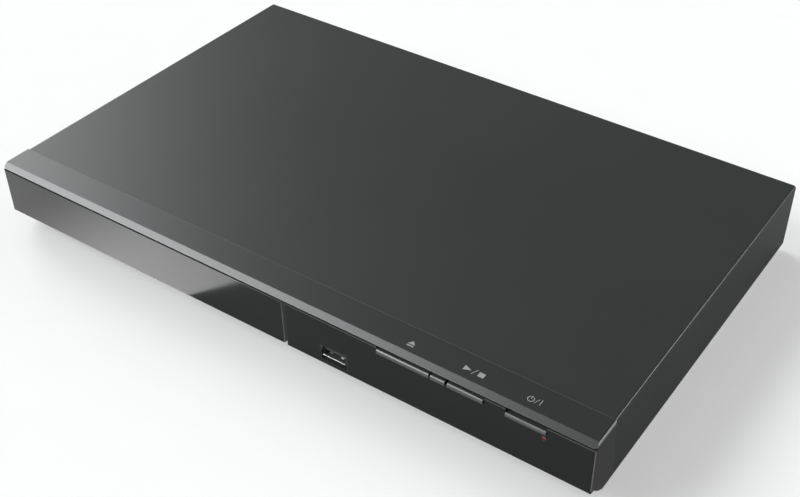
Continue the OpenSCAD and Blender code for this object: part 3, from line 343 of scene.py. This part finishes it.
nylon = Finish("white_nylon", {
    "Specular IOR Level": 0.4, "Subsurface Weight": 0.1, "Subsurface Scale": 0.001})
nylon_cloud = nylon.speckle(0.004, 3.0)
nylon.give("Base Color", nylon.blend(nylon_cloud, (0.72, 0.71, 0.67), (0.80, 0.79, 0.76)))
nylon.give("Roughness", nylon.grade(nylon_cloud, 0.3, 0.7, 0.38, 0.52))
nylon.relief(nylon.speckle(0.0003, 2.0), 0.00002, 0.0002)
nylon.dress("board_sockets", "left_insert")

# Audio and video sockets. Nickel-plated sleeves round coloured moulded rings, each ring with
# a brass centre contact; the colours tell the signals apart. The mains pins, the pickup's
# rods and the lead screw have the same bright plating.
nickel = Finish("bright_nickel", {"Metallic": 1.0})
nickel_cloud = nickel.speckle(0.002, 3.0)
nickel.give("Base Color", nickel.blend(nickel_cloud, (0.68, 0.67, 0.64), (0.78, 0.78, 0.76)))
nickel.give("Roughness", nickel.grade(nickel.speckle(0.0006, 3.0, 0.6), 0.3, 0.7, 0.10, 0.24))
nickel.relief(nickel_cloud, 0.00001, 0.0002)
nickel.dress("jack_sleeves", "ac_pins", "guide_rods", "lead_screw")

for insert, ring_dark, ring_light in (
        ("video_insert", (0.62, 0.44, 0.01), (0.80, 0.60, 0.03)),
        ("right_insert", (0.42, 0.012, 0.012), (0.58, 0.03, 0.03)),
        ("digital_insert", (0.60, 0.17, 0.015), (0.76, 0.26, 0.03))):
    ring = Finish(insert + "_plastic", {"Specular IOR Level": 0.5})
    ring_cloud = ring.speckle(0.003, 3.0)
    ring.give("Base Color", ring.blend(ring_cloud, ring_dark, ring_light))
    ring.give("Roughness", ring.grade(ring_cloud, 0.3, 0.7, 0.28, 0.42))
    ring.relief(ring.speckle(0.0004, 2.0), 0.00002, 0.0002)
    ring.dress(insert)

brass = Finish("plated_brass", {"Metallic": 1.0})
tarnish = brass.speckle(0.0015, 4.0, 0.6)
brass.give("Base Color", brass.blend(tarnish, (0.55, 0.40, 0.16), (0.78, 0.62, 0.30)))
brass.give("Roughness", brass.grade(tarnish, 0.3, 0.7, 0.18, 0.36))
brass.relief(tarnish, 0.00001)
brass.dress("jack_contacts")

# Power parts. A taped ferrite transformer, a varnished choke, a glass fuse, an extruded
# heatsink, and the leads and flat cables that join the boards.
ferrite = Finish("ferrite_and_tape", {"Specular IOR Level": 0.4})
tape_low, tape_span = 0.010, 0.012
bare = ferrite.grade(abs(((ferrite.z - tape_low) / tape_span) - 0.5), 0.30, 0.31)
core_cloud = ferrite.speckle(0.002, 4.0, 0.6)
tape_tone = ferrite.blend(core_cloud, (0.52, 0.36, 0.03), (0.62, 0.45, 0.06))
core_tone = ferrite.blend(core_cloud, (0.030, 0.026, 0.024), (0.075, 0.065, 0.055))
ferrite.give("Base Color", ferrite.blend(bare, tape_tone, core_tone))
ferrite.give("Roughness", ferrite.grade(core_cloud, 0.3, 0.7, 0.35, 0.6))
ferrite.relief(core_cloud + bare, 0.00006, 0.0004)
ferrite.dress("power_transformer")

winding = Finish("varnished_wire", {"Specular IOR Level": 0.6, "Coat Weight": 0.4})
wire_pitch = 0.0006
turns = abs((winding.z / wire_pitch) % 1 - 0.5)
winding.give("Base Color", winding.blend(turns * 2, (0.42, 0.15, 0.04), (0.62, 0.28, 0.10)))
winding.give("Metallic", turns * 0.6)
winding.give("Roughness", winding.grade(winding.speckle(0.002), 0.3, 0.7, 0.25, 0.4))
winding.relief(turns, 0.0002, 0.0005)
winding.dress("mains_choke")

clear_glass = Finish("fuse_glass", {"Transmission Weight": 0.85, "IOR": 1.45})
glass_cloud = clear_glass.speckle(0.003)
clear_glass.give("Base Color", clear_glass.blend(glass_cloud, (0.84, 0.88, 0.88), (0.93, 0.95, 0.95)))
clear_glass.give("Roughness", clear_glass.grade(clear_glass.speckle(0.002), 0.3, 0.7, 0.04, 0.12))
clear_glass.relief(clear_glass.speckle(0.001), 0.00001, 0.0002)
clear_glass.dress("fuse")

extrusion = Finish("raw_extrusion", {"Metallic": 1.0})
drawn = extrusion.speckle(0.0004, 3.0, 0.6, (1, 1, 0.03))
extrusion.give("Base Color", extrusion.blend(drawn, (0.58, 0.58, 0.59), (0.74, 0.74, 0.75)))
extrusion.give("Roughness", extrusion.grade(drawn, 0.3, 0.7, 0.28, 0.46))
extrusion.relief(drawn, 0.00003, 0.0002)
extrusion.dress("power_heatsink")

flat_cable = Finish("flat_cable", {"Specular IOR Level": 0.45})
core_pitch = 0.00125
cores = abs((flat_cable.x / core_pitch) % 1 - 0.5)
between_cores = flat_cable.grade(cores, 0.14, 0.2)
flat_cable.give("Base Color", flat_cable.blend(between_cores, (0.40, 0.42, 0.46), (0.70, 0.70, 0.67)))
flat_cable.give("Roughness", flat_cable.grade(flat_cable.speckle(0.005), 0.3, 0.7, 0.35, 0.5))
flat_cable.relief(flat_cable.grade(cores, 0.1, 0.3, 1.0, 0.0), 0.00008)
flat_cable.dress("front_ribbon", "loader_ribbon")

insulation = Finish("wire_insulation", {"Specular IOR Level": 0.45})
sheath = insulation.speckle(0.004, 3.0)
insulation.give("Base Color", insulation.blend(sheath, (0.38, 0.02, 0.018), (0.54, 0.05, 0.04)))
insulation.give("Roughness", insulation.grade(sheath, 0.3, 0.7, 0.35, 0.5))
insulation.relief(insulation.speckle(0.0008), 0.00003, 0.0003)
insulation.dress("power_lead")

# Motors. Drawn steel cans, pressed into the loader and the deck; the draw leaves fine rings
# round the wall and the plating is a little clouded.
can = Finish("drawn_can", {"Metallic": 1.0})
draw_rings = can.speckle(0.0005, 3.0, 0.6, (0.1, 0.1, 1))
can.give("Base Color", can.blend(draw_rings, (0.46, 0.47, 0.48), (0.64, 0.65, 0.66)))
can.give("Roughness", can.grade(can.speckle(0.006), 0.3, 0.7, 0.22, 0.38))
can.relief(draw_rings, 0.00002, 0.0003)
can.dress("loading_motor", "spindle_motor", "sled_motor")

# Gears, pulleys, cam, turntable and clamp. Cream acetal, slightly waxy, with a film of grease
# that gathers in patches and makes the teeth shine.
acetal = Finish("cream_acetal", {
    "Specular IOR Level": 0.45, "Subsurface Weight": 0.15, "Subsurface Scale": 0.001})
grease = acetal.grade(acetal.speckle(0.005, 3.0), 0.5, 0.62)
acetal.give("Base Color", acetal.blend(grease * 0.5, (0.74, 0.70, 0.61), (0.66, 0.60, 0.46)))
acetal.give("Roughness", acetal.blend(grease, (0.46, 0.46, 0.46), (0.2, 0.2, 0.2)))
acetal.relief(acetal.speckle(0.0004, 2.0), 0.00002, 0.0002)
acetal.dress("drive_gear", "pulley_gear", "motor_pulley", "cam_slide", "turntable", "clamper")

# Pickup. A die-cast sled on two bright rods, its lens a coated bead that glints blue.
casting = Finish("die_casting", {"Metallic": 0.9})
skin = casting.speckle(0.0008, 4.0, 0.6)
casting.give("Base Color", casting.blend(skin, (0.30, 0.31, 0.32), (0.46, 0.47, 0.48)))
casting.give("Roughness", casting.grade(skin, 0.3, 0.7, 0.38, 0.58))
casting.relief(skin, 0.00006, 0.0003)
casting.dress("pickup_carriage")

coated_lens = Finish("coated_lens", {
    "Transmission Weight": 0.7, "IOR": 1.52, "Thin Film Thickness": 380.0, "Thin Film IOR": 1.38})
lens_cloud = coated_lens.speckle(0.001)
coated_lens.give("Base Color", coated_lens.blend(lens_cloud, (0.32, 0.50, 0.72), (0.42, 0.62, 0.80)))
coated_lens.give("Roughness", coated_lens.grade(coated_lens.speckle(0.0008), 0.3, 0.7, 0.02, 0.06))
coated_lens.relief(coated_lens.speckle(0.002), 0.000002)
coated_lens.dress("pickup_lens")

# Drawer. A dark grey moulding with fine spark grain, polished a little along the rims where
# discs and fingers touch it.
drawer = Finish("drawer_grain", {"Specular IOR Level": 0.4})
drawer_grain = drawer.speckle(0.00035, 2.0, 0.6)
drawer_cloud = drawer.speckle(0.04, 3.0)
drawer_edge = drawer.edges(0.0007)
drawer_wear = drawer_edge * 0.5 + drawer_cloud * 0.2
drawer.give("Base Color", drawer.blend(drawer_wear, (0.022, 0.022, 0.024), (0.075, 0.075, 0.078)))
drawer.give("Roughness", drawer.grade(drawer_cloud - drawer_edge * 0.4, 0.0, 0.7, 0.34, 0.55))
drawer.relief(drawer_grain, 0.00005, 0.0004)
drawer.dress("disc_tray")

# Screws. Small pan heads: bright zinc inside and below, blackened where they hold the cover.
for screw_name, screw_nodes, screw_dark, screw_light, metal_share in (
        ("zinc_screw", ("chassis_screws", "inner_screws"), (0.46, 0.46, 0.45), (0.66, 0.66, 0.64), 1.0),
        ("blackened_screw", ("cover_screws",), (0.018, 0.018, 0.019), (0.07, 0.07, 0.07), 0.5)):
    screw = Finish(screw_name, {"Metallic": metal_share})
    screw_wear = screw.edges(0.0003) * 0.7 + screw.speckle(0.002) * 0.3
    screw.give("Base Color", screw.blend(screw_wear, screw_dark, screw_light))
    screw.give("Roughness", screw.grade(screw.speckle(0.0008, 3.0), 0.3, 0.7, 0.26, 0.44))
    screw.relief(screw.speckle(0.0004), 0.00002, 0.0002)
    screw.dress(*screw_nodes)

# Front moulding and door. Polished black, from the top strip down to the floor, satin on the
# strip and bevel, with painted highlights along its rims, painted light in its groove and gap,
# and painted shade on its sides. Signs for the three buttons are printed in pale grey on the strip.
top_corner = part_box("front_panel")[1]
half_width, roof = top_corner.x, top_corner.z
door_low, door_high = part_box("tray_door")
front_y = door_low.y
gloss = Finish("polished_black", {"IOR": 1.18, "Coat Roughness": 0.35, "Coat IOR": 1.58})
across, behind = gloss.x * 1000, (gloss.y - front_y) * 1000


def box_sign(left, right, near, far):
    """A printed bar or square, by its ends in millimetres from the middle and from the front."""
    in_width = abs(across - (left + right) / 2) < (right - left) / 2
    in_depth = abs(behind - (near + far) / 2) < (far - near) / 2
    return in_width * in_depth


def slash_sign(left, right, near, far, width):
    """A printed stroke that leans from its near left end to its far right end."""
    lean = across - (behind - near) * ((right - left) / (far - near))
    return (abs(lean - left) < width / 2) * (abs(behind - (near + far) / 2) < (far - near) / 2)


# The signs: an arrow over a bar, an arrow and a square with a stroke between, and an open
# ring with a stem, a stroke and a bar.
eject_x, eject_tip, eject_foot = 73.5, 8.8, 6.7
eject_sign = (abs(across - eject_x) < (eject_tip - behind) * 0.82) * (behind > eject_foot)
eject_sign = eject_sign | box_sign(eject_x - 1.6, eject_x + 1.6, 5.4, 6.1)
play_x, play_y, play_length = 98.5, 7.7, 3.5
play_sign = (abs(behind - play_y) < (play_x + play_length - across) * 0.4) * (across > play_x)
play_sign = play_sign | slash_sign(play_x + 4.2, play_x + 5.8, 6.0, 9.4, 0.36)
stop_sign = box_sign(play_x + 6.9, play_x + 9.7, 6.3, 8.8)
power_x, power_y, ring_radius, half_line = 129.6, 7.4, 1.35, 0.17
ring_out = ((across - power_x) ** 2.0 + (behind - power_y) ** 2.0) ** 0.5
ring_opening = (abs(across - power_x) < 0.5) * (behind > power_y)
power_sign = (abs(ring_out - ring_radius) < half_line) * (1 - ring_opening)
power_sign = power_sign | box_sign(power_x - half_line, power_x + half_line, 7.5, 9.3)
power_sign = power_sign | slash_sign(power_x + 2.1, power_x + 3.2, 6.3, 9.0, 0.3)
power_sign = power_sign | box_sign(power_x + 4.25, power_x + 4.55, 6.1, 9.3)
strip_top = gloss.z > roof - 0.0001
signs = (eject_sign | play_sign | stop_sign | power_sign) * strip_top

# The satin strip with its bevel, the sides painted darker as painted shade, and painted
# highlights on the strip's ends.
satin_drop, satin_depth = 0.0023, 0.0165
satin = (gloss.z > roof - satin_drop) * (gloss.y < front_y + satin_depth)
side_width, end_width, end_drop = 0.0007, 0.00018, 0.0009
side = abs(gloss.x) > half_width - side_width
strip_end_highlight = (abs(gloss.x) > half_width - end_width) * (gloss.z > roof - end_drop)

# The shadow groove over the door, painted a little lighter as painted light, less at its left,
# with a painted highlight line under its right part.
groove_z, groove_half, groove_depth, groove_turn_x = door_high.z + 0.0003, 0.00055, 0.003, -0.02
groove = (abs(gloss.z - groove_z) < groove_half) * (gloss.y < front_y + groove_depth)
groove_right_painted_light = groove * (gloss.x > groove_turn_x)
lip_z, lip_half, lip_depth = door_high.z - 0.00048, 0.00022, 0.001
groove_lip_highlight = (abs(gloss.z - lip_z) < lip_half) * (gloss.y < front_y + lip_depth)
groove_lip_highlight = groove_lip_highlight * (gloss.x > groove_turn_x)

# The gap beside the door, painted grey in its depth as painted light where shade falls, and
# painted highlights on the rims and front corners.
gap_x, gap_half, gap_depth, face_skin = door_high.x + 0.0005, 0.0013, 0.006, 0.00005
door_gap = (abs(gloss.x - gap_x) < gap_half) * (gloss.z < groove_z) * (gloss.y < front_y + gap_depth)
corner_width, corner_depth, corner_share = 0.00032, 0.00045, 0.65
corner = (abs(gloss.x) > half_width - corner_width) * (gloss.y < front_y + corner_depth)
corner = corner * (gloss.z < door_high.z)
rim_radius, rim_low_z = 0.00028, door_low.z + 0.0009
rim_highlight = (gloss.edges(rim_radius) ** 2.0 | corner * corner_share) * (gloss.z > rim_low_z) * (1 - door_gap)

# The left end wall of the media socket's recess, painted pale as a painted highlight,
# brightest in its upper half.
socket_low, socket_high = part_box("usb_shell")
socket_end_x, socket_end_z = socket_low.x - 0.0004, socket_low.z + 0.0022
socket_bright_z = socket_low.z + 0.003
socket_end_highlight = (abs(gloss.x - socket_end_x) < 0.0003) * (abs(gloss.z - socket_end_z) < 0.0032)
socket_end_highlight = socket_end_highlight * (gloss.y > front_y + 0.00002) * (0.12 + (gloss.z > socket_bright_z) * 0.88)

moulding = gloss.blend(gloss.speckle(0.03, 3.0) * 0.1, (0.0112, 0.0117, 0.0122), (0.06, 0.062, 0.062))
# Each share lays a tone over the moulding. The gap and groove tones are painted light, the side tone is
# painted shade, and the rim, groove lip, strip end and socket end tones are painted highlights. The signs
# are print.
for share, shade in ((satin, (0.0165, 0.0185, 0.0185)),
                     (door_gap * (gloss.y > front_y + face_skin), (0.20, 0.20, 0.20)),
                     (side, (0.004, 0.0042, 0.0044)),
                     (groove, (0.016, 0.018, 0.0175)),
                     (groove_right_painted_light, (0.040, 0.042, 0.041)),
                     (rim_highlight * (1 - groove), (0.26, 0.265, 0.265)),
                     (groove_lip_highlight, (0.085, 0.088, 0.086)),
                     (strip_end_highlight, (0.36, 0.37, 0.37)),
                     (socket_end_highlight, (0.34, 0.345, 0.34)),
                     (signs, (0.30, 0.305, 0.30))):
    moulding = gloss.blend(share, moulding, shade)
gloss.give("Base Color", moulding)
gloss.give("Metallic", rim_highlight * 0.25)
gloss_rough = gloss.blend((satin | side) * (1 - rim_highlight), (0.15, 0.15, 0.15), (0.4, 0.4, 0.4))
gloss.give("Roughness", gloss_rough | groove * 0.9)
gloss.give("Coat Weight", satin * (1 - strip_top * 0.42))
gloss.relief(gloss.speckle(0.0006, 2.0), 0.000004, 0.00025)
gloss.dress("front_panel", "tray_door")

# Buttons and trim. Three slim bars of satin metallic plastic slide in slots under the strip,
# with a short fixed bar of the same finish between two of them; their slanted edge is painted
# paler as a painted highlight.
bar_satin = Finish("satin_bar", {"Metallic": 0.75})
bar_brush = bar_satin.speckle(0.0005, 3.0, 0.6, (0.04, 1, 1))
bar_wear = bar_satin.edges(0.0003) * 0.3 + bar_brush * 0.3
bar_face = bar_satin.blend(bar_wear, (0.080, 0.084, 0.084), (0.20, 0.205, 0.21))
bar_slant_highlight = bar_satin.turned("Z", flat=True) > 0.5
bar_satin.give("Base Color", bar_satin.blend(bar_slant_highlight, bar_face, (0.165, 0.17, 0.17)))
bar_satin.give("Roughness", bar_satin.grade(bar_brush, 0.3, 0.7, 0.30, 0.44))
bar_satin.relief(bar_brush, 0.00001, 0.0003)
bar_satin.dress("eject_button", "play_button", "power_button", "button_trim")

# Standby light. A lens of tinted plastic, pushed through the front below the power bar and
# barely lit.
tinted = Finish("tinted_lens", {"IOR": 1.49, "Emission Strength": 0.03})
tinted_cloud = tinted.speckle(0.0008, 2.0)
tinted.give("Base Color", tinted.blend(tinted_cloud, (0.14, 0.016, 0.015), (0.20, 0.028, 0.026)))
tinted.give("Emission Color", tinted.blend(tinted_cloud, (0.8, 0.03, 0.02), (1.0, 0.06, 0.05)))
tinted.give("Roughness", tinted.grade(tinted_cloud, 0.3, 0.7, 0.15, 0.25))
tinted.relief(tinted_cloud, 0.000004, 0.0002)
tinted.dress("standby_led")

# Media socket. A pressed nickel shell round a black tongue, set back in the front; its mouth is
# painted dark as painted shade, its lower lip painted bright as a painted highlight, and two
# springs on its floor, raised in relief, painted near white as painted highlights in the dark.
# Sizes on it are in millimetres.
socket_x = (socket_low.x + socket_high.x) / 2
shell = Finish("pressed_shell", {"IOR": 1.5})
along, deep = (shell.x - socket_x) * 1000, (shell.y - front_y) * 1000
high = (shell.z - socket_low.z) * 1000
shell_lines = shell.speckle(0.0006, 3.0, 0.6, (1, 0.05, 1))
shell_mouth = deep < 0.9
shell_floor = high < 0.5
lip_middle, lip_half_length = -0.5, 5.9
lip = shell_mouth * shell_floor * (abs(along - lip_middle) < lip_half_length)
springs_middle, spring_out, spring_deep, spring_half = -0.8, 3.1, 3.5, 0.8
springs = abs(abs(along - springs_middle) - spring_out) < spring_half
springs = springs * (abs(deep - spring_deep) < spring_half) * shell_floor
shell_inside = shell.blend(shell_lines, (0.075, 0.075, 0.074), (0.125, 0.125, 0.122))
# The mouth's dark tone is painted shade.
shell_tone = shell.blend(shell_mouth, shell_inside, (0.040, 0.040, 0.040))
# The near white of the lip and the springs is painted highlight.
shell.give("Base Color", shell.blend(lip | springs * 0.85, shell_tone, (0.95, 0.95, 0.94)))
shell.give("Metallic", shell_mouth | (1 - springs) * 0.35)
shell.give("Roughness", shell.grade(shell_lines, 0.3, 0.7, 0.28, 0.42))
shell.relief(shell_lines + springs * 3, 0.00001, 0.0002)
shell.dress("usb_shell")

tongue = Finish("socket_tongue", {"Specular IOR Level": 0.3})
tongue_cloud = tongue.speckle(0.0008, 3.0)
tongue.give("Base Color", tongue.blend(tongue_cloud, (0.035, 0.035, 0.034), (0.055, 0.055, 0.053)))
tongue.give("Roughness", tongue.grade(tongue_cloud, 0.3, 0.7, 0.42, 0.58))
tongue.relief(tongue.speckle(0.0003), 0.00002, 0.0002)
tongue.dress("usb_tongue")

# Top cover. A folded sheet of steel under a thin coat of fine-textured charcoal paint, with a
# painted highlight along its folds, paler edges from wear and painted highlight, and duller on
# its sides than on its top, where it is also painted darker as painted shade.
paint = Finish("charcoal_paint", {"IOR": 1.235, "Coat IOR": 1.21, "Coat Roughness": 0.38})
paint_grain = paint.speckle(0.00045, 3.0, 0.65)
paint_cloud = paint.speckle(0.07, 3.0)
fold_half, fold_width, fold_drop = 0.00024, 0.0009, 0.001
# A painted highlight along the folds.
fold_highlight = abs(abs(paint.x) - paint.z - (half_width - roof)) < fold_half
fold_highlight = fold_highlight * (abs(paint.x) > half_width - fold_width) * (paint.z > roof - fold_drop)
# The sides' darker tone is painted shade; their extra roughness is the paint's own.
side_drop, side_inset = 0.0014, 0.0075
paint_side_dull_and_shaded = (paint.z < roof - side_drop) * (abs(paint.x) > half_width - side_inset)
paint_wear_and_highlight = fold_highlight + paint.edges(0.0006) * 0.3 + paint_cloud * 0.025 + paint_grain * 0.02
paint_tone = paint.blend(paint_wear_and_highlight, (0.018, 0.0225, 0.0215), (0.28, 0.29, 0.29))
paint_rough = paint.grade(paint_cloud * 0.5 + paint_grain * 0.5, 0.3, 0.7, 0.35, 0.41)
paint.give("Base Color", paint.blend(paint_side_dull_and_shaded, paint_tone, (0.012, 0.0148, 0.0143)))
paint.give("Roughness", paint_rough - fold_highlight * 0.2 + paint_side_dull_and_shaded * 0.14)
paint.give("Coat Weight", paint.z > roof - 0.0004)
paint.give("Metallic", fold_highlight * 0.2)
paint.relief(paint_grain, 0.00001, 0.0005)
paint.dress("top_cover")
